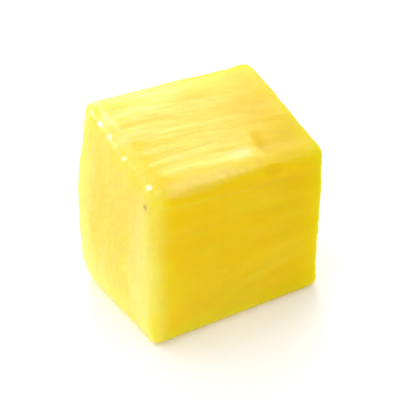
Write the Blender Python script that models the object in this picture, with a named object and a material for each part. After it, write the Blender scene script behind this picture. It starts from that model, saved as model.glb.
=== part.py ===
"""One hand-cut cube of fresh pineapple.

The cube is a single solid. Six knife cuts bound it, none of them quite square to the next. Its fibres run
along X, from the side nearest the core (+X) to the side nearest the rind (-X), which keeps some of the
fruit's roundness. It stands on its flat cut at Z = 0. Units are metres.
"""

import math

import bmesh
import bpy
import numpy as np
from mathutils import Vector, noise

MM = 0.001

# Distance between opposite cuts, through the middle of the cube.
LENGTH = 27.5 * MM
WIDTH = 20.0 * MM
HEIGHT = 27.2 * MM

# How far each cut strays from square, as rise over run.
RIND_CUT_OVER_Y = 0.020
RIND_CUT_OVER_Z = 0.008
CORE_CUT_OVER_Y = -0.025
CORE_CUT_OVER_Z = 0.022
FRONT_CUT_OVER_X = 0.020
FRONT_CUT_OVER_Z = -0.015
BACK_CUT_OVER_X = -0.012
BACK_CUT_OVER_Z = 0.035
TOP_CUT_OVER_X = -0.075
TOP_CUT_OVER_Y = 0.185

# Roundness left on the rind side: how far it stands out at its front and back edges, and how high up.
RIND_BULGE_FRONT = 0.3 * MM
RIND_BULGE_BACK = 2.3 * MM
RIND_BULGE_HEIGHT = 0.40

# The wet flesh gives way along every edge, so the edges are soft. They are most worn at the corner where the
# rind side, the front and the top meet, and this fades with the distance from that corner.
EDGE_RADIUS = 1.1 * MM
WORN_RADIUS = 3.0 * MM
WORN_REACH = 23.0 * MM
EDGE_CELLS = 2

# Cells across the flat middle of each side. The fibres are long in X, so X needs the fewest.
CELLS_X = 18
CELLS_Y = 22
CELLS_Z = 28

# Relief of the cut flesh.
KNIFE_WANDER = 0.28 * MM
KNIFE_WANDER_SPAN = 11.0 * MM
BUNDLE_DEPTH = 0.20 * MM
BUNDLE_DEPTH_END_ON = 0.08 * MM
BUNDLE_PITCH = 2.7 * MM
BUNDLE_LENGTH = 17.0 * MM
FAN_CENTRE_X = 62.0 * MM

# Fruitlets, the eyes of the fruit, show as low domes on the rind side.
FRUITLET_SPACING = 15.0 * MM
FRUITLET_DEPTH = 0.30 * MM
FRUITLET_AT_Y = 2.0 * MM
FRUITLET_AT_Z = 11.0 * MM
FRUITLET_REACH = 5.0 * MM

# The base keeps its plain cut, and the relief fades in over this height.
BASE_FADE = 2.0 * MM

FLESH_COLOUR = (0.945, 0.745, 0.125, 1.0)
FLESH_ROUGHNESS = 0.32


def clear_scene():
    for item in list(bpy.data.objects):
        bpy.data.objects.remove(item, do_unlink=True)


def cut_plane(axis, middle, slopes):
    """Normal and offset of a cut across one axis, which strays by slopes = {other axis: rise over run}."""
    normal = np.zeros(3)
    normal[axis] = 1.0
    centre = np.array([0.0, 0.0, HEIGHT / 2])
    centre[axis] = middle
    for other, slope in slopes.items():
        normal[other] = -slope
    return normal, float(normal @ centre)


def knife_cuts():
    """The six cuts, as (low side, high side) for each axis."""
    rind = cut_plane(0, -LENGTH / 2, {1: RIND_CUT_OVER_Y, 2: RIND_CUT_OVER_Z})
    core = cut_plane(0, LENGTH / 2, {1: CORE_CUT_OVER_Y, 2: CORE_CUT_OVER_Z})
    front = cut_plane(1, -WIDTH / 2, {0: FRONT_CUT_OVER_X, 2: FRONT_CUT_OVER_Z})
    back = cut_plane(1, WIDTH / 2, {0: BACK_CUT_OVER_X, 2: BACK_CUT_OVER_Z})
    base = cut_plane(2, 0.0, {})
    top = cut_plane(2, HEIGHT, {0: TOP_CUT_OVER_X, 1: TOP_CUT_OVER_Y})
    return (rind, core), (front, back), (base, top)


def block_corners():
    """The eight corners where three cuts meet, indexed [x side][y side][z side]."""
    cuts = knife_cuts()
    corners = np.zeros((2, 2, 2, 3))
    for i in range(2):
        for j in range(2):
            for k in range(2):
                planes = (cuts[0][i], cuts[1][j], cuts[2][k])
                normals = np.array([plane[0] for plane in planes])
                offsets = np.array([plane[1] for plane in planes])
                corners[i, j, k] = np.linalg.solve(normals, offsets)
    return corners


def stations(size, cells):
    """Where the mesh lines cross one axis of a box: even in the middle, closer over its rounded edges."""
    half = size / 2
    turns = [math.tan(math.radians(45 * step / EDGE_CELLS)) for step in range(EDGE_CELLS, 0, -1)]
    low_edge = [-half + EDGE_RADIUS * (1 - turn) for turn in turns]
    middle = np.linspace(-half + EDGE_RADIUS, half - EDGE_RADIUS, cells + 1)
    high_edge = [-place for place in reversed(low_edge)]
    return low_edge + [float(place) for place in middle] + high_edge


def box_grid(cells):
    """A cube from -1 to 1 whose sides are cut into a grid of quads, with cells[axis] cells along each axis."""
    grid = bmesh.new()
    bmesh.ops.create_cube(grid, size=2.0)
    for axis in range(3):
        along = [e for e in grid.edges if abs((e.verts[0].co - e.verts[1].co)[axis]) > 1.0]
        bmesh.ops.subdivide_edges(grid, edges=along, cuts=cells[axis] - 1, use_grid_fill=True)
    return grid


def edge_radius(point, half):
    """How round the edges are near a point of a box's surface."""
    worn_corner = Vector((-half[0], -half[1], half[2]))
    closeness = max(0.0, 1 - (point - worn_corner).length / WORN_REACH)
    wear = closeness ** 2 * (3 - 2 * closeness)
    return EDGE_RADIUS + (WORN_RADIUS - EDGE_RADIUS) * wear


def soften(point, half):
    """Moves a point of a box's surface onto the same box with rounded edges."""
    radius = edge_radius(point, half)
    core = Vector([max(-h + radius, min(h - radius, c)) for c, h in zip(point, half)])
    outward = point - core
    return core + outward.normalized() * radius


def place_in_block(point, half, corners):
    """Carries a point of the square box into the uneven block between the knife cuts."""
    share = [(c / h + 1) / 2 for c, h in zip(point, half)]
    placed = np.zeros(3)
    for i in range(2):
        for j in range(2):
            for k in range(2):
                weight = (share[0] if i else 1 - share[0])
                weight *= (share[1] if j else 1 - share[1])
                weight *= (share[2] if k else 1 - share[2])
                placed += weight * corners[i, j, k]
    return Vector(placed), share


def rind_bulge(share):
    """How far a point moves towards -X, most on the rind side and none on the core side."""
    height = min(max(share[2], 0.0), 1.0)
    power = math.log(0.5) / math.log(RIND_BULGE_HEIGHT)
    profile = math.sin(math.pi * height ** power)
    reach = RIND_BULGE_FRONT + (RIND_BULGE_BACK - RIND_BULGE_FRONT) * share[1]
    return reach * profile * (1 - share[0])


def fruitlet_dome(point):
    """Height of the nearest fruitlet's dome over the grooves between fruitlets, from 0 to 1."""
    row_step = FRUITLET_SPACING * math.sqrt(3) / 2
    nearest = FRUITLET_SPACING
    for row in range(-2, 3):
        shift = FRUITLET_SPACING / 2 * (row % 2)
        for column in range(-2, 3):
            y = FRUITLET_AT_Y + row * row_step
            z = FRUITLET_AT_Z + column * FRUITLET_SPACING + shift
            nearest = min(nearest, math.hypot(point.y - y, point.z - z))
    reach = FRUITLET_SPACING / 2
    return max(0.0, 1 - (nearest / reach) ** 2)


def fibre_bundles(point):
    """Ridges that follow the fibres. They fan out slightly from the core, so they open towards the rind."""
    from_core = FAN_CENTRE_X - point.x
    fan = FAN_CENTRE_X / from_core
    across_y = point.y / BUNDLE_PITCH
    across_z = (point.z - HEIGHT / 2) * fan / BUNDLE_PITCH
    return noise.noise(Vector((point.x / BUNDLE_LENGTH, across_y, across_z)))


def relief(point, normal):
    """How far the cut flesh stands out of its plane at a point."""
    fade = min(1.0, point.z / BASE_FADE)
    wander = KNIFE_WANDER * noise.noise(point / KNIFE_WANDER_SPAN)
    bundle_depth = BUNDLE_DEPTH + (BUNDLE_DEPTH_END_ON - BUNDLE_DEPTH) * normal.x ** 2
    bundles = bundle_depth * fibre_bundles(point)
    rind_share = max(0.0, min(1.0, (-point.x - LENGTH / 2 + FRUITLET_REACH) / FRUITLET_REACH))
    fruitlet = FRUITLET_DEPTH * rind_share ** 2 * (fruitlet_dome(point) - 0.5)
    return fade * (wander + bundles + fruitlet)


def shape_block(grid, cells):
    """Turns the plain grid into the cube of flesh."""
    sizes = (LENGTH, WIDTH, HEIGHT)
    half = [size / 2 for size in sizes]
    lines = [stations(size, count - 2 * EDGE_CELLS) for size, count in zip(sizes, cells)]
    corners = block_corners()
    for vert in grid.verts:
        steps = [round((vert.co[axis] + 1) / 2 * cells[axis]) for axis in range(3)]
        on_box = Vector([lines[axis][steps[axis]] for axis in range(3)])
        placed, share = place_in_block(soften(on_box, half), half, corners)
        placed.x -= rind_bulge(share)
        vert.co = placed
    grid.normal_update()
    moves = [(vert, vert.normal * relief(vert.co, vert.normal)) for vert in grid.verts]
    for vert, move in moves:
        vert.co += move


def stand_on_origin(mesh):
    """Moves the mesh so that the middle of its footprint's box is at the origin."""
    places = np.array([vert.co for vert in mesh.vertices])
    middle = (places.min(axis=0) + places.max(axis=0)) / 2
    for vert in mesh.vertices:
        vert.co -= Vector((middle[0], middle[1], 0.0))


def flesh_material():
    material = bpy.data.materials.new("pineapple_flesh")
    material.use_nodes = True
    shader = material.node_tree.nodes["Principled BSDF"]
    shader.inputs["Base Color"].default_value = FLESH_COLOUR
    shader.inputs["Roughness"].default_value = FLESH_ROUGHNESS
    shader.inputs["Metallic"].default_value = 0.0
    return material


def pineapple_cube():
    cells = [count + 2 * EDGE_CELLS for count in (CELLS_X, CELLS_Y, CELLS_Z)]
    grid = box_grid(cells)
    shape_block(grid, cells)
    mesh = bpy.data.meshes.new("pineapple_cube")
    grid.to_mesh(mesh)
    grid.free()
    stand_on_origin(mesh)
    mesh.shade_smooth()
    mesh.materials.append(flesh_material())
    cube = bpy.data.objects.new("pineapple_cube", mesh)
    bpy.context.scene.collection.objects.link(cube)
    return cube


clear_scene()
pineapple_cube()
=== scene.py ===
"""The look of one hand-cut cube of fresh pineapple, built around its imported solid. Units are metres."""

import math

import bmesh
import bpy
import numpy as np
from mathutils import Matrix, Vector, noise
from mathutils.bvhtree import BVHTree


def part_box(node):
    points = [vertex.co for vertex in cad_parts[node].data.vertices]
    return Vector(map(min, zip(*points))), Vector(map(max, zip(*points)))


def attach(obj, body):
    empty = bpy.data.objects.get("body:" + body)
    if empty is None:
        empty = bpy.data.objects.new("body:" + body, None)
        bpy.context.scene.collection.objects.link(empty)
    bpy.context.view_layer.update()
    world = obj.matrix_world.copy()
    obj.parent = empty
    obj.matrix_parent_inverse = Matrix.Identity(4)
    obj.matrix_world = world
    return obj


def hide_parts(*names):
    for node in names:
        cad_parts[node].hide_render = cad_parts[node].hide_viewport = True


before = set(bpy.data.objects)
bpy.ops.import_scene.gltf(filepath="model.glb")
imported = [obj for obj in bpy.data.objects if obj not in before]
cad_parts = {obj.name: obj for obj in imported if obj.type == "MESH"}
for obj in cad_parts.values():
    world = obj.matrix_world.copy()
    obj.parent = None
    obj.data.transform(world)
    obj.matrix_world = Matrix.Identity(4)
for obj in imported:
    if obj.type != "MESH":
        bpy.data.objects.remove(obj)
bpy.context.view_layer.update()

MM = 0.001
NODE = "pineapple_cube"
BODY = "root"

# Where the photograph is taken from: degrees left of the -Y side, degrees above it, and the distance.
CAMERA_TURN = 31.0
CAMERA_RISE = 36.0
CAMERA_DISTANCE = 517 * MM
CAMERA_SENSOR = 36.0
CAMERA_VIEW_WIDTH = 57 * MM
CAMERA_TARGET = (0.17 * MM, 0.0, 14.6 * MM)
CAMERA_CLIP_START = 10 * MM

# The white sky: its strength before and behind the cube, and where along Y the one turns into the other.
SKY_COLOUR = (1.0, 1.0, 1.0, 1.0)
SKY_FRONT = 0.55
SKY_BACK = 0.65
SKY_SPAN = (-0.7, 0.7)

# Lamps, with sizes in metres and powers in watts. The sparkles only show in the wet film, all round the cube.
LAMP_DISTANCE = 0.45
LAMPS = {
    "key": {"from": (-0.30, 0.20, 1.33), "size": 0.30, "power": 0.80},
    "back": {"from": (0.34, 0.72, 0.66), "size": 0.20, "power": 0.3},
}
SPARKLES = {
    "back_right": {"from": (0.46, 0.58, 0.67), "size": 0.26, "power": 1.9},
    "back": {"from": (-0.10, 0.69, 0.70), "size": 0.24, "power": 2.0},
    "back_left": {"from": (-0.62, 0.64, 0.40), "size": 0.36, "power": 3.6},
    "over_right": {"from": (0.42, -0.07, 0.90), "size": 0.36, "power": 2.6},
    "front_right": {"from": (0.42, -0.59, 0.69), "size": 0.22, "power": 1.0},
    "over_left": {"from": (-0.50, -0.12, 0.84), "size": 0.40, "power": 2.0},
    "front_left": {"from": (-0.74, -0.30, 0.56), "size": 0.30, "power": 2.0},
    "low_right": {"from": (0.70, -0.66, 0.28), "size": 0.34, "power": 0.42},
    "low_left": {"from": (-0.46, -0.84, 0.28), "size": 0.30, "power": 0.32},
    "low_back_right": {"from": (0.84, 0.50, 0.24), "size": 0.32, "power": 0.37},
    "glint_back_left": {"from": (-0.57, 0.70, 0.43), "size": 0.12, "power": 5.5},
    "glint_back_right": {"from": (0.30, 0.75, 0.60), "size": 0.04, "power": 1.0},
    "glint_front_left": {"from": (-0.75, -0.40, 0.53), "size": 0.06, "power": 0.8},
}

# The floor, which glows a little so that it stays white under the cube.
FLOOR_REACH = 0.9
FLOOR_COLOUR = (0.92, 0.92, 0.92, 1.0)
FLOOR_GLOW_COLOUR = (0.94, 0.97, 1.0, 1.0)
FLOOR_GLOW = 0.15
FLOOR_ROUGHNESS = 0.6
FLOOR_SPECULAR = 0.2

# Colours of the flesh. The ground runs from GOLD to LEMON, and the rest lie over it. The white also paints
# highlights, sheen and glow, and the deep gold also paints shadow.
GOLD = (0.96, 0.62, 0.003, 1.0)
LEMON = (0.94, 0.68, 0.010, 1.0)
CREAM = (0.95, 0.80, 0.025, 1.0)
# Also the colour of painted highlights, sheen and glow.
WHITE = (0.93, 0.92, 0.360, 1.0)
# Deep gold: the gold marks' own tone, and painted shadow towards the core side.
DEEP_GOLD_AND_SHADOW = (0.82, 0.59, 0.003, 1.0)
AMBER = (0.72, 0.38, 0.010, 1.0)
BROWN = (0.30, 0.22, 0.03, 1.0)

# The flesh lets light through. Its gloss is all in the coat, the film of juice.
SCATTER_RADIUS = (1.0, 0.90, 0.05)
SCATTER_SCALE = 7.5 * MM
BASE_IOR = 1.38
BASE_SPECULAR = 0.03
COAT_WEIGHT = 0.5
COAT_ROUGHNESS = 0.06
COAT_IOR = 1.30

# The fine mesh: cells along each axis between the edges, cells over each edge, and the width of an edge.
FINE_CELLS = (62, 96, 128)
EDGE_CELLS = 9
EDGE_WIDTH = 1.5 * MM

# How often and how far each point moves towards its neighbours. The base, up to BASE_TOP, stays flat, and
# the relief fades in over BASE_FADE above it.
SMOOTH_STEPS = 24
SMOOTH_SHARE = 0.5
BASE_TOP = 0.01 * MM
BASE_FADE = 1.2 * MM

# The fibres fan out from a line parallel to Y, on the core side. They sway along Y and Z, this far over these
# spans, in millimetres. A shift for each of the two axes keeps its sway apart from the other's.
FAN_CENTRE_X = 62.0 * MM
FAN_CENTRE_Z = 13.4 * MM
FIBRE_SWAY = 0.8
FIBRE_SWAY_SPANS = (24.0, 9.0, 9.0)
FIBRE_SWAY_SHIFTS = ((1, 31.0), (2, 57.0))

# Threads, the pale bundles of fibre, in millimetres: how far apart, how long, and how high they stand on a
# side and end on. As shares of the spacing or length: their radius, the half of them that shows, and the core
# of the radius that shows in full. The last three scatter them, the same on every run.
THREAD_SPACING = 2.1
THREAD_LENGTH = 26.0
THREAD_HEIGHT = 0.025
THREAD_HEIGHT_END_ON = 0.05
THREAD_RADIUS = (0.08, 0.20)
THREAD_HALF_LENGTH = 0.75
THREAD_CORE = 0.35
THREAD_SEEDS = (127, 311, 743)
THREAD_RATES = (1.0, 1.7, 2.3, 3.1)
THREAD_SCATTER = 4375.85

# Marks on the flesh, in millimetres: the middle of each, its reach along x, y and z, how strongly it gives
# each look, and how ragged it is where that isn't 1. The pale of the rim, crest, shoulder, column, front edge
# and spot is painted light, and the deep gold in the nick is painted shade; gold and amber are the flesh's
# tone.
MARKS = {
    "gold_band": {"at": (-14.3, 4.4, 15.0), "reach": (4.0, 2.3, 11.5), "gold": 1.0},
    "gold_low": {"at": (-14.6, 1.2, 8.2), "reach": (3.0, 3.2, 3.6), "gold": 0.8},
    "gold_crease": {"at": (-13.4, -4.6, 23.3), "reach": (2.5, 4.2, 1.7), "gold": 0.7},
    # Painted rim light: a pale band down the back edge of the rind side.
    "rim_light": {"at": (-15.0, 9.0, 13.0), "reach": (4.0, 4.0, 17.0), "pale_and_painted_light": 0.19},
    # Painted highlight: a pale streak along the crest between the rind side and the top, on a wetter film.
    "crest_highlight": {"at": (-11.5, 3.0, 28.6), "reach": (1.1, 8.0, 3.4), "pale_and_painted_light": 0.20, "juice": 0.9},
    # Painted sheen: a faint pale patch on the back of the top, on a wetter film.
    "shoulder_sheen": {"at": (-3.5, 7.6, 29.0), "reach": (6.5, 3.6, 3.0), "pale_and_painted_light": 0.04, "juice": 0.4},
    # Painted glow: a pale column low on the rind side, near its front edge.
    "glow_column": {"at": (-13.8, -6.8, 11.0), "reach": (3.0, 3.6, 11.5), "pale_and_painted_light": 0.20},
    # Painted highlight: a pale band along the top's front edge, on a wetter film.
    "front_edge_highlight": {"at": (-5.5, -9.4, 25.7), "reach": (8.0, 1.6, 1.5), "pale_and_painted_light": 0.13, "juice": 0.5},
    # Painted glint: a small pale spot on the top near its front edge, on a wetter film.
    "spot": {"at": (2.8, -6.6, 26.0), "reach": (1.9, 1.3, 2.0), "pale_and_painted_light": 0.05, "juice": 0.9, "ragged": 2.0},
    "hollow": {"at": (6.2, -9.8, 23.6), "reach": (1.8, 1.3, 1.25), "amber": 1.0, "ragged": 2.5},
    # The nick's deep gold is painted shade in the notch; its amber is tone.
    "nick": {"at": (6.9, -6.9, 26.0), "reach": (1.0, 3.4, 3.0), "nick": 1.0, "deep_and_shadow": 0.7, "amber": 0.5,
             "ragged": 1.5},
}

# Where a mark is full and where it is gone, as shares of its reach.
MARK_FULL = 0.45
MARK_GONE = 1.15

# Pale arcs round the gold band, in shares of its reach: how far apart they are, where one is palest, and
# where they begin, are full, begin to fade and are gone.
ARC_SPACING = 0.85
ARC_AT = 1.25
ARC_SPAN = (0.7, 1.1, 1.2, 3.0)
ARC_PALE = 0.08

# Small brown specks, in millimetres. They are longer along an axis where SPECK_SHAPE is under 1, and their
# outlines wander by this share of the wobble.
SPECKS = (
    {"at": (-13.2, -7.6, 23.0), "radius": 0.50},
    {"at": (9.0, 8.6, 7.0), "radius": 0.40},
    {"at": (13.6, 3.0, 19.0), "radius": 0.45},
)
SPECK_SHAPE = (0.3, 1.0, 0.75)
SPECK_RAGGED = 0.5

# How squarely the flesh has to face a side to begin to count as it, and to count in full.
FACING = (0.6, 0.95)

# Streaks of noise along the fibres, as (spacing across, length along, shift), the first two in millimetres.
WOBBLE_STREAKS = (2.6, 9, 70)
DEEP_STREAKS = (1.4, 16, 12)
CORE_STREAKS = (4.0, 20, 33)
FRAY_STREAKS = (0.8, 0.9, 60)

# The outlines of the marks wander by this share of their reach.
WOBBLE = 0.35

# Where along X, in millimetres, the flesh begins to turn deep gold towards the core and where it is deepest,
# partly a deeper tone and partly painted shadow, and how far this wanders with its own streaks and with the
# wobble. The core side gets less of it by these shares, and so does the back, from and up to these places
# along Y.
DEEP_SPAN = (0.5, 13.0)
DEEP_STREAK_REACH = 5.0
DEEP_WOBBLE_REACH = 6.0
CORE_LIGHTER = 0.5
CORE_LIGHTER_STREAKS = 0.5
BACK_LIGHTER = 0.5
BACK_LIGHTER_SPAN = (-6.0, 5.0)

# The rind side is paler by this share, partly its own tone and partly painted sheen, from and up to these
# distances towards -X.
RIND_PALE_AND_SHEEN = 0.19
RIND_PALE_SPAN = (10.5, 13.0)

# The shaded front has less cream in it, as painted shade, and the ends of the fibres have less as their own
# tone. The front is drier towards its top, between these heights. Where the flesh is dry, this share of the
# film is left.
FRONT_PAINTED_SHADE = 0.5
END_CREAM_LOSS = 0.25
FRONT_DRY = 0.8
FRONT_DRY_SPAN = (2.0, 13.0)
DRY_SHARE = 0.16

# Relief of the fine surface, in millimetres, as (height, streaks): along the fibres, and at their ends.
SIDE_RELIEF = ((0.08, (1.8, 22, 0)), (0.03, (0.7, 12, 40)), (0.06, (1.3, 3.4, 80)))
END_RELIEF = ((0.04, (0.9, 3, 0)), (0.05, (1.9, 5, 9)))
ARC_HEIGHT = 0.008
GOLD_HEIGHT = 0.05
FRAY_HEIGHT = 0.35
DEPTHS = {"speck": 0.15, "amber": 0.12, "nick": 0.16}

# Patterns of the material, in the same terms as the streaks.
BROAD = (7.0, 12.0, 11.7)
BUNDLES = (1.5, 30.0, 9.0)
HAIRS = (0.38, 20.0, 21.0)
CELLS = (0.55, 1.3, 44.0)
LINES = (0.95, 24.0, 5.0)
SACS = (1.9, 4.2, 61.0)
FIBRE_ENDS = (0.85, 9.0, 17.0)
END_PATCHES = (2.6, 9.0, 52.0)
FILM = (0.9, 2.6, 33.0)

# What the patterns do: the value where each begins, the value where it is full, and what it gives at both.
BROAD_TO_LEMON = (0.35, 0.65, 0.0, 1.0)
BUNDLES_TO_CREAM = (0.35, 0.70, 0.0, 0.13)
HAIRS_TO_CREAM = (0.40, 0.70, 0.0, 0.08)
CELLS_TO_CREAM = (0.35, 0.65, 0.0, 0.14)
SACS_TO_CREAM = (0.25, 0.75, 0.0, 0.13)
LINES_SHOW = (0.16, 0.05, 0.0, 1.0)
ENDS_TO_WHITE = (0.50, 0.05, 0.0, 0.11)
PATCHES_OF_ENDS = (0.35, 0.65, 0.35, 1.0)
HAIRS_TO_ROUGHNESS = (0.3, 0.7, 0.34, 0.48)

# How much of its own colour each look brings.
THREAD_WHITE = 0.05
LINE_WHITE = 0.04
GOLD_SHARE = 0.42
DEEP_SHARE = 0.80
AMBER_SHARE = 0.22
SPECK_SHARE = 0.65

# Bumps too fine for the mesh, as (strength, height), and what they are made of.
FLESH_BUMP = (0.5, 0.10 * MM)
FLESH_BUMP_HAIRS = 0.6
FLESH_BUMP_CELLS = 0.4
FILM_BUMP = (1.0, 0.09 * MM)
FILM_BUMP_HAIRS = 0.35


# ---------------------------------------------------------------- mesh

def corners_of(points):
    """The eight corner points of a rough block, indexed [x side][y side][z side]."""
    corners = np.zeros((2, 2, 2, 3))
    size = points.max(axis=0) - points.min(axis=0)
    for side in np.ndindex(2, 2, 2):
        towards = (2 * np.array(side) - 1) / size
        corners[side] = points[np.argmax(points @ towards)]
    return corners


def in_block(corners, share):
    """Points inside the block for shares from 0 to 1 along its three axes."""
    placed = np.zeros_like(share)
    for side in np.ndindex(2, 2, 2):
        weight = np.ones(len(share))
        for axis in range(3):
            weight = weight * (share[:, axis] if side[axis] else 1 - share[:, axis])
        placed += weight[:, None] * corners[side]
    return placed


def stations(size, cells):
    """Shares from 0 to 1 where the mesh lines cross one axis, closer over the two soft edges."""
    edge = EDGE_WIDTH / size
    low = np.linspace(0, edge, EDGE_CELLS + 1)[:-1]
    middle = np.linspace(edge, 1 - edge, cells + 1)
    return np.concatenate([low, middle, 1 - low[::-1]])


def grid_mesh(counts):
    """A cube from -1 to 1 with its sides cut into quads, counts[axis] of them along each axis."""
    grid = bmesh.new()
    bmesh.ops.create_cube(grid, size=2.0)
    for axis in range(3):
        along = [e for e in grid.edges if abs((e.verts[0].co - e.verts[1].co)[axis]) > 1.0]
        bmesh.ops.subdivide_edges(grid, edges=along, cuts=counts[axis] - 1, use_grid_fill=True)
    mesh = bpy.data.meshes.new("flesh")
    grid.to_mesh(mesh)
    grid.free()
    return mesh


def grid_shares(mesh, lines):
    """The grid's points as shares from 0 to 1 of a block that the given lines cut."""
    unit = np.empty(len(mesh.vertices) * 3)
    mesh.vertices.foreach_get("co", unit)
    unit = unit.reshape(-1, 3)
    share = np.empty_like(unit)
    for axis, line in enumerate(lines):
        step = np.rint((unit[:, axis] + 1) / 2 * (len(line) - 1)).astype(int)
        share[:, axis] = line[step]
    return share


def fine_block(node):
    """A fine grid of quads, and the points that lay it on the surface of the CAD node."""
    cad = node.data
    points = np.array([v.co for v in cad.vertices])
    corners = corners_of(points)
    size = points.max(axis=0) - points.min(axis=0)
    lines = [stations(size[axis], FINE_CELLS[axis]) for axis in range(3)]
    mesh = grid_mesh([len(line) - 1 for line in lines])
    share = grid_shares(mesh, lines)
    edge = EDGE_WIDTH / size
    outer = in_block(corners, share)
    inner = in_block(corners, np.clip(share, edge, 1 - edge))
    surface = BVHTree.FromPolygons([v.co for v in cad.vertices], [p.vertices for p in cad.polygons])
    for index in range(len(outer)):
        start = Vector(inner[index])
        hit = surface.ray_cast(start, Vector(outer[index]) - start)[0]
        if hit:
            outer[index] = hit
    return mesh, outer


def smoothed(mesh, points):
    """Evens out the flat facets of the CAD solid. The base stays flat."""
    pairs = np.empty(len(mesh.edges) * 2, dtype=np.int32)
    mesh.edges.foreach_get("vertices", pairs)
    pairs = pairs.reshape(-1, 2)
    degree = np.bincount(pairs.ravel(), minlength=len(points))
    base = points[:, 2] < BASE_TOP
    for _ in range(SMOOTH_STEPS):
        total = np.zeros_like(points)
        for axis in range(3):
            total[:, axis] += np.bincount(pairs[:, 0], points[pairs[:, 1], axis], len(points))
            total[:, axis] += np.bincount(pairs[:, 1], points[pairs[:, 0], axis], len(points))
        moved = points + SMOOTH_SHARE * (total / degree[:, None] - points)
        points = np.where(base[:, None], points, moved)
    return points


def normals_of(mesh, points):
    mesh.vertices.foreach_set("co", points.ravel())
    mesh.update()
    return np.array([n.vector for n in mesh.vertex_normals])


# ---------------------------------------------------------------- fields on the mesh

def ramp(value, low, high):
    """0 at low and 1 at high, with soft ends."""
    share = np.clip((value - low) / (high - low), 0, 1)
    return share * share * (3 - 2 * share)


def fibre_space(points):
    """Points in millimetres, straightened so that every fibre runs along X."""
    place = points / MM
    centre = np.array([FAN_CENTRE_X, 0, FAN_CENTRE_Z]) / MM
    fan = centre[0] / (centre[0] - place[:, 0])
    straight = np.stack([place[:, 0], place[:, 1], (place[:, 2] - centre[2]) * fan], axis=1)
    slow = straight / np.array(FIBRE_SWAY_SPANS)
    for axis, shift in FIBRE_SWAY_SHIFTS:
        straight[:, axis] += FIBRE_SWAY * np.array([noise.noise(Vector(q)) for q in slow + shift])
    return straight


def streaks(fibre, pattern):
    """Noise drawn out along the fibres, about -1 to 1."""
    spacing, length, shift = pattern
    stretch = np.array([1 / length, 1 / spacing, 1 / spacing])
    return np.array([noise.noise(Vector(q)) for q in fibre * stretch + shift])


def scattered(seed):
    """A number from 0 to 1 for each seed, which looks random and is the same on every run."""
    return np.modf(np.abs(np.sin(seed) * THREAD_SCATTER))[0]


def threads(fibre):
    """1 in the middle of a thread and 0 outside it. Threads run along X, each one ending where it will."""
    cell = fibre / np.array([THREAD_LENGTH, THREAD_SPACING, THREAD_SPACING])
    home = np.floor(cell).astype(int)
    thinnest, thickest = THREAD_RADIUS
    strongest = np.zeros(len(cell))
    for step in np.ndindex(3, 3, 3):
        corner = home + np.array(step) - 1
        seed = corner @ np.array(THREAD_SEEDS)
        spot = np.stack([scattered(seed * rate) for rate in THREAD_RATES], axis=1)
        away = cell - corner - spot[:, :3]
        radius = thinnest + (thickest - thinnest) * spot[:, 3] ** 2
        taper = np.sqrt(np.clip(1 - (away[:, 0] / THREAD_HALF_LENGTH) ** 2, 0, 1))
        distance = np.hypot(away[:, 1], away[:, 2])
        strongest = np.maximum(strongest, ramp(-distance, -radius, -THREAD_CORE * radius) * taper)
    return strongest


def away_from(place, mark, wobble):
    """How far points are from the middle of a mark, in shares of its reach."""
    away = np.linalg.norm((place - np.array(mark["at"])) / np.array(mark["reach"]), axis=1)
    return away + mark.get("ragged", 1.0) * wobble


def marked(place, look, wobble):
    """How strongly the marks give one look: in full in the middle of each, and not at all past its reach."""
    strongest = np.zeros(len(place))
    for mark in MARKS.values():
        if look in mark:
            inside = ramp(-away_from(place, mark, wobble), -MARK_GONE, -MARK_FULL)
            strongest = np.maximum(strongest, mark[look] * inside)
    return strongest


def arcs_round(place, mark, wobble):
    """Pale arcs round a fruitlet, which die away from it, -1 to 1."""
    away = away_from(place, mark, wobble)
    begin, full, fading, gone = ARC_SPAN
    arcs = np.cos(2 * np.pi * (away - ARC_AT) / ARC_SPACING)
    return arcs * ramp(away, begin, full) * ramp(-away, -gone, -fading)


def specks(place, wobble):
    """1 in the middle of a speck and 0 outside it."""
    strongest = np.zeros(len(place))
    for speck in SPECKS:
        offset = (place - np.array(speck["at"])) * np.array(SPECK_SHAPE)
        away = np.linalg.norm(offset, axis=1) + SPECK_RAGGED * wobble
        strongest = np.maximum(strongest, ramp(-away, -speck["radius"], 0.0))
    return strongest


def deepening_and_shadow(place, fibre, normals, wobble):
    """How far the flesh has turned deep gold towards the core side, partly a deeper tone and partly painted
    shadow, less so on that side itself and at the back. The nick's deep gold is painted shade.
    """
    reach = place[:, 0] + DEEP_STREAK_REACH * streaks(fibre, DEEP_STREAKS) + DEEP_WOBBLE_REACH * wobble
    core_side = ramp(normals[:, 0], *FACING)
    deep_and_shadow = ramp(reach, *DEEP_SPAN)
    deep_and_shadow = deep_and_shadow * (1 - core_side * (CORE_LIGHTER + CORE_LIGHTER_STREAKS * streaks(fibre, CORE_STREAKS)))
    deep_and_shadow = deep_and_shadow * (1 - BACK_LIGHTER * ramp(place[:, 1], *BACK_LIGHTER_SPAN))
    return np.maximum(deep_and_shadow, marked(place, "deep_and_shadow", wobble))


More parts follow.
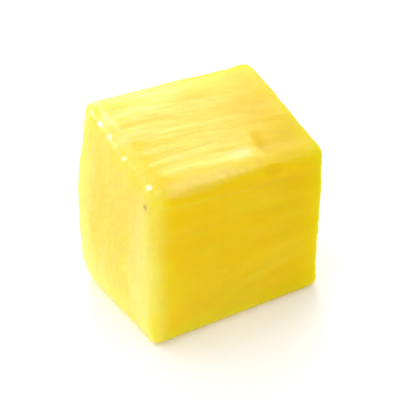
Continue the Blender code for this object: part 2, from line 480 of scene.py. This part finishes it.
def surface_fields(points, normals):
    """What the flesh is at each point: its place along the fibres, and how strongly it has each look."""
    place = points / MM
    fibre = fibre_space(points)
    wobble = WOBBLE * streaks(fibre, WOBBLE_STREAKS)
    arcs = arcs_round(place, MARKS["gold_band"], wobble)
    # The pale look holds painted highlights, sheen and glow as well as pale flesh and arcs.
    pale_and_painted_light = np.maximum(marked(place, "pale_and_painted_light", wobble), ARC_PALE * arcs)
    ends = ramp(np.abs(normals[:, 0]), *FACING)
    front = ramp(-normals[:, 1], *FACING)
    # Deep gold towards the core side: partly a deeper tone, partly painted shadow.
    deep_and_shadow = deepening_and_shadow(place, fibre, normals, wobble)
    dry = np.maximum(deep_and_shadow, FRONT_DRY * front * ramp(place[:, 2], *FRONT_DRY_SPAN))
    return {
        "fibre": fibre,
        "thread": threads(fibre),
        "end": ends,
        # Less cream on the shaded front is painted shade.
        "cream": 1 - FRONT_PAINTED_SHADE * front - END_CREAM_LOSS * ends,
        "pale_and_painted_light": pale_and_painted_light + RIND_PALE_AND_SHEEN * ramp(-place[:, 0], *RIND_PALE_SPAN),
        "gold": marked(place, "gold", wobble),
        "deep_and_shadow": deep_and_shadow,
        "wet": 1 - (1 - DRY_SHARE) * dry + marked(place, "juice", wobble),
        "arcs": arcs,
        "amber": marked(place, "amber", wobble),
        "nick": marked(place, "nick", wobble),
        "speck": specks(place, wobble),
    }


def relief(points, normals, fields):
    """How far the flesh stands out of the plain cut, in metres."""
    fibre, thread = fields["fibre"], fields["thread"]
    side = sum(height * streaks(fibre, pattern) for height, pattern in SIDE_RELIEF)
    side = side + THREAD_HEIGHT * thread
    end = sum(height * streaks(fibre, pattern) for height, pattern in END_RELIEF)
    end = end + THREAD_HEIGHT_END_ON * thread + ARC_HEIGHT * fields["arcs"] + GOLD_HEIGHT * fields["gold"]
    edge = 1 - np.max(np.abs(normals), axis=1)
    frayed = FRAY_HEIGHT * edge * streaks(fibre, FRAY_STREAKS)
    sunk = sum(depth * fields[name] for name, depth in DEPTHS.items())
    along = 1 - normals[:, 0] ** 2
    fade = np.minimum(1.0, points[:, 2] / BASE_FADE)
    return fade * MM * (along * side + (1 - along) * end + frayed - sunk)


def store(mesh, name, values):
    """Keeps a number or a vector for each point of the mesh, for the material to read."""
    kind, part = ("FLOAT_VECTOR", "vector") if values.ndim == 2 else ("FLOAT", "value")
    field = mesh.attributes.new(name, kind, "POINT")
    field.data.foreach_set(part, values.astype(np.float32).ravel())


def flesh_piece(node):
    """The cube of flesh: a fine mesh on the CAD node, with its relief and fields."""
    mesh, points = fine_block(node)
    points = smoothed(mesh, points)
    normals = normals_of(mesh, points)
    fields = surface_fields(points, normals)
    points = points + normals * relief(points, normals, fields)[:, None]
    points[:, 2] = np.maximum(points[:, 2], 0.0)
    mesh.vertices.foreach_set("co", points.ravel())
    for name, values in fields.items():
        store(mesh, name, values)
    mesh.update()
    mesh.shade_smooth()
    piece = bpy.data.objects.new("flesh", mesh)
    bpy.context.scene.collection.objects.link(piece)
    return piece


# ---------------------------------------------------------------- materials

class Tree:
    """Short calls for building a material's nodes."""

    def __init__(self, name):
        self.material = bpy.data.materials.new(name)
        self.material.use_nodes = True
        self.nodes = self.material.node_tree.nodes
        self.links = self.material.node_tree.links
        self.inputs = self.nodes["Principled BSDF"].inputs

    def add(self, kind, **settings):
        node = self.nodes.new(kind)
        for name, value in settings.items():
            setattr(node, name, value)
        return node

    def feed(self, socket, value):
        if isinstance(value, bpy.types.NodeSocket):
            self.links.new(value, socket)
        else:
            socket.default_value = value

    def math(self, operation, a, b, c=0.0, clamp=False):
        node = self.add("ShaderNodeMath", operation=operation, use_clamp=clamp)
        for socket, value in zip(node.inputs, (a, b, c)):
            self.feed(socket, value)
        return node.outputs[0]

    def vmath(self, operation, a, b):
        node = self.add("ShaderNodeVectorMath", operation=operation)
        self.feed(node.inputs[0], a)
        self.feed(node.inputs[1], b)
        return node.outputs["Vector"]

    def field(self, name, output="Fac"):
        """Reads a field that the mesh stores at its points."""
        return self.add("ShaderNodeAttribute", attribute_name=name).outputs[output]

    def noise(self, vector, detail=2.0, roughness=0.5):
        node = self.add("ShaderNodeTexNoise")
        self.feed(node.inputs["Vector"], vector)
        node.inputs["Scale"].default_value = 1.0
        node.inputs["Detail"].default_value = detail
        node.inputs["Roughness"].default_value = roughness
        return node.outputs["Fac"]

    def voronoi(self, vector):
        node = self.add("ShaderNodeTexVoronoi")
        self.feed(node.inputs["Vector"], vector)
        node.inputs["Scale"].default_value = 1.0
        return node.outputs["Distance"]

    def smooth(self, value, low, high, to_low, to_high):
        node = self.add("ShaderNodeMapRange", interpolation_type="SMOOTHSTEP")
        for socket, fed in zip(node.inputs, (value, low, high, to_low, to_high)):
            self.feed(socket, fed)
        return node.outputs[0]

    def mix(self, share, a, b):
        node = self.add("ShaderNodeMix", data_type="RGBA")
        self.feed(node.inputs[0], share)
        self.feed(node.inputs[6], a)
        self.feed(node.inputs[7], b)
        return node.outputs[2]

    def bump(self, height, strength, distance):
        node = self.add("ShaderNodeBump")
        node.inputs["Strength"].default_value = strength
        node.inputs["Distance"].default_value = distance
        self.feed(node.inputs["Height"], height)
        return node.outputs[0]


def flesh_material():
    tree = Tree("pineapple_flesh_wet")
    fibre = tree.field("fibre", "Vector")

    def drawn(pattern):
        """The fibre coordinates, stretched and shifted for one pattern."""
        spacing, length, shift = pattern
        stretched = tree.vmath("MULTIPLY", fibre, (1 / length, 1 / spacing, 1 / spacing))
        return tree.vmath("ADD", stretched, (shift,) * 3)

    def times(field, share):
        return tree.math("MULTIPLY", tree.field(field), share)

    broad = tree.noise(drawn(BROAD), detail=1.0)
    bundles = tree.noise(drawn(BUNDLES), detail=1.0)
    hairs = tree.noise(drawn(HAIRS), detail=2.0, roughness=0.6)
    cells = tree.noise(drawn(CELLS), detail=2.0)
    lines = tree.smooth(tree.voronoi(drawn(LINES)), *LINES_SHOW)
    sacs = tree.voronoi(drawn(SACS))
    ends = tree.smooth(tree.voronoi(drawn(FIBRE_ENDS)), *ENDS_TO_WHITE)
    patches = tree.smooth(tree.noise(drawn(END_PATCHES)), *PATCHES_OF_ENDS)
    film = tree.noise(drawn(FILM), detail=3.0, roughness=0.55)

    ground = tree.mix(tree.smooth(broad, *BROAD_TO_LEMON), GOLD, LEMON)
    cream = tree.math("ADD", tree.smooth(bundles, *BUNDLES_TO_CREAM), tree.smooth(hairs, *HAIRS_TO_CREAM))
    cream = tree.math("ADD", cream, tree.smooth(cells, *CELLS_TO_CREAM))
    cream = tree.math("ADD", cream, tree.smooth(sacs, *SACS_TO_CREAM))
    colour = tree.mix(times("cream", cream), ground, CREAM)
    # Gold marks are the flesh's own tone; the deep look is partly tone and partly painted shadow.
    golden = tree.math("MAXIMUM", times("gold", GOLD_SHARE), times("deep_and_shadow", DEEP_SHARE))
    colour = tree.mix(golden, colour, DEEP_GOLD_AND_SHADOW)
    colour = tree.mix(times("amber", AMBER_SHARE), colour, AMBER)
    white = tree.math("ADD", times("thread", THREAD_WHITE), tree.math("MULTIPLY", lines, LINE_WHITE))
    white = tree.math("ADD", white, times("end", tree.math("MULTIPLY", ends, patches)))
    # The pale look paints highlights, sheen and glow in white, besides pale flesh.
    white = tree.math("ADD", white, tree.field("pale_and_painted_light"), clamp=True)
    colour = tree.mix(white, colour, WHITE)
    colour = tree.mix(times("speck", SPECK_SHARE), colour, BROWN)

    roughness = tree.smooth(hairs, *HAIRS_TO_ROUGHNESS)
    wetness = tree.math("MULTIPLY", tree.field("wet"), COAT_WEIGHT, clamp=True)
    grain = tree.math("MULTIPLY_ADD", hairs, FLESH_BUMP_HAIRS, tree.math("MULTIPLY", cells, FLESH_BUMP_CELLS))
    ripple = tree.math("MULTIPLY_ADD", hairs, FILM_BUMP_HAIRS, film)
    tree.feed(tree.inputs["Base Color"], colour)
    tree.feed(tree.inputs["Roughness"], roughness)
    tree.feed(tree.inputs["IOR"], BASE_IOR)
    tree.feed(tree.inputs["Specular IOR Level"], BASE_SPECULAR)
    tree.feed(tree.inputs["Subsurface Weight"], 1.0)
    tree.feed(tree.inputs["Subsurface Radius"], SCATTER_RADIUS)
    tree.feed(tree.inputs["Subsurface Scale"], SCATTER_SCALE)
    tree.feed(tree.inputs["Coat Weight"], wetness)
    tree.feed(tree.inputs["Coat Roughness"], COAT_ROUGHNESS)
    tree.feed(tree.inputs["Coat IOR"], COAT_IOR)
    tree.feed(tree.inputs["Normal"], tree.bump(grain, *FLESH_BUMP))
    tree.feed(tree.inputs["Coat Normal"], tree.bump(ripple, *FILM_BUMP))
    return tree.material


def floor_material():
    tree = Tree("pale_floor")
    tree.feed(tree.inputs["Base Color"], FLOOR_COLOUR)
    tree.feed(tree.inputs["Emission Color"], FLOOR_GLOW_COLOUR)
    tree.feed(tree.inputs["Emission Strength"], FLOOR_GLOW)
    tree.feed(tree.inputs["Roughness"], FLOOR_ROUGHNESS)
    tree.feed(tree.inputs["Specular IOR Level"], FLOOR_SPECULAR)
    return tree.material


# ---------------------------------------------------------------- studio

def floor():
    mesh = bpy.data.meshes.new("studio_floor")
    corners = [(x * FLOOR_REACH, y * FLOOR_REACH, 0) for x, y in ((-1, -1), (1, -1), (1, 1), (-1, 1))]
    mesh.from_pydata(corners, [], [(0, 1, 2, 3)])
    piece = bpy.data.objects.new("studio_floor", mesh)
    piece.data.materials.append(floor_material())
    bpy.context.scene.collection.objects.link(piece)


def softbox(name, lamp, target, gloss_only=False):
    """A square lamp that faces the target. A gloss-only one shows in the wet film and lights nothing."""
    light = bpy.data.lights.new(name, "AREA")
    light.shape = "SQUARE"
    light.size = lamp["size"]
    light.energy = lamp["power"]
    box = bpy.data.objects.new(name, light)
    towards = Vector(lamp["from"]).normalized()
    box.location = target + towards * LAMP_DISTANCE
    box.rotation_euler = towards.to_track_quat("Z", "Y").to_euler()
    box.visible_diffuse = not gloss_only
    bpy.context.scene.collection.objects.link(box)


def surround():
    """A white sky that is a little brighter behind the cube than before it."""
    world = bpy.data.worlds.new("soft_white")
    world.use_nodes = True
    nodes, links = world.node_tree.nodes, world.node_tree.links
    split = nodes.new("ShaderNodeSeparateXYZ")
    level = nodes.new("ShaderNodeMapRange")
    for socket, value in zip(list(level.inputs)[1:5], (*SKY_SPAN, SKY_FRONT, SKY_BACK)):
        socket.default_value = value
    links.new(nodes.new("ShaderNodeTexCoord").outputs["Generated"], split.inputs[0])
    links.new(split.outputs[1], level.inputs[0])
    links.new(level.outputs[0], nodes["Background"].inputs["Strength"])
    nodes["Background"].inputs["Color"].default_value = SKY_COLOUR
    bpy.context.scene.world = world


def camera(target):
    """The photograph's view of the target, from CAMERA_TURN to the left and CAMERA_RISE above."""
    data = bpy.data.cameras.new("photo_camera")
    data.sensor_width = CAMERA_SENSOR
    data.lens = CAMERA_SENSOR * CAMERA_DISTANCE / CAMERA_VIEW_WIDTH
    data.clip_start = CAMERA_CLIP_START
    lens = bpy.data.objects.new("photo_camera", data)
    turn = math.radians(-CAMERA_TURN)
    rise = math.radians(CAMERA_RISE)
    out = Vector((math.sin(turn) * math.cos(rise), -math.cos(turn) * math.cos(rise), math.sin(rise)))
    lens.location = target + out * CAMERA_DISTANCE
    lens.rotation_euler = out.to_track_quat("Z", "Y").to_euler()
    bpy.context.scene.collection.objects.link(lens)
    bpy.context.scene.camera = lens


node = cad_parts[NODE]
flesh = flesh_piece(node)
flesh.data.materials.append(flesh_material())
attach(flesh, BODY)
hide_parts(NODE)

low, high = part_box(NODE)
middle = (low + high) / 2
floor()
surround()
for name, lamp in LAMPS.items():
    softbox(name, lamp, middle)
for name, lamp in SPARKLES.items():
    softbox("sparkle_" + name, lamp, middle, gloss_only=True)
camera(Vector(CAMERA_TARGET))
bpy.context.scene.view_settings.view_transform = "Standard"
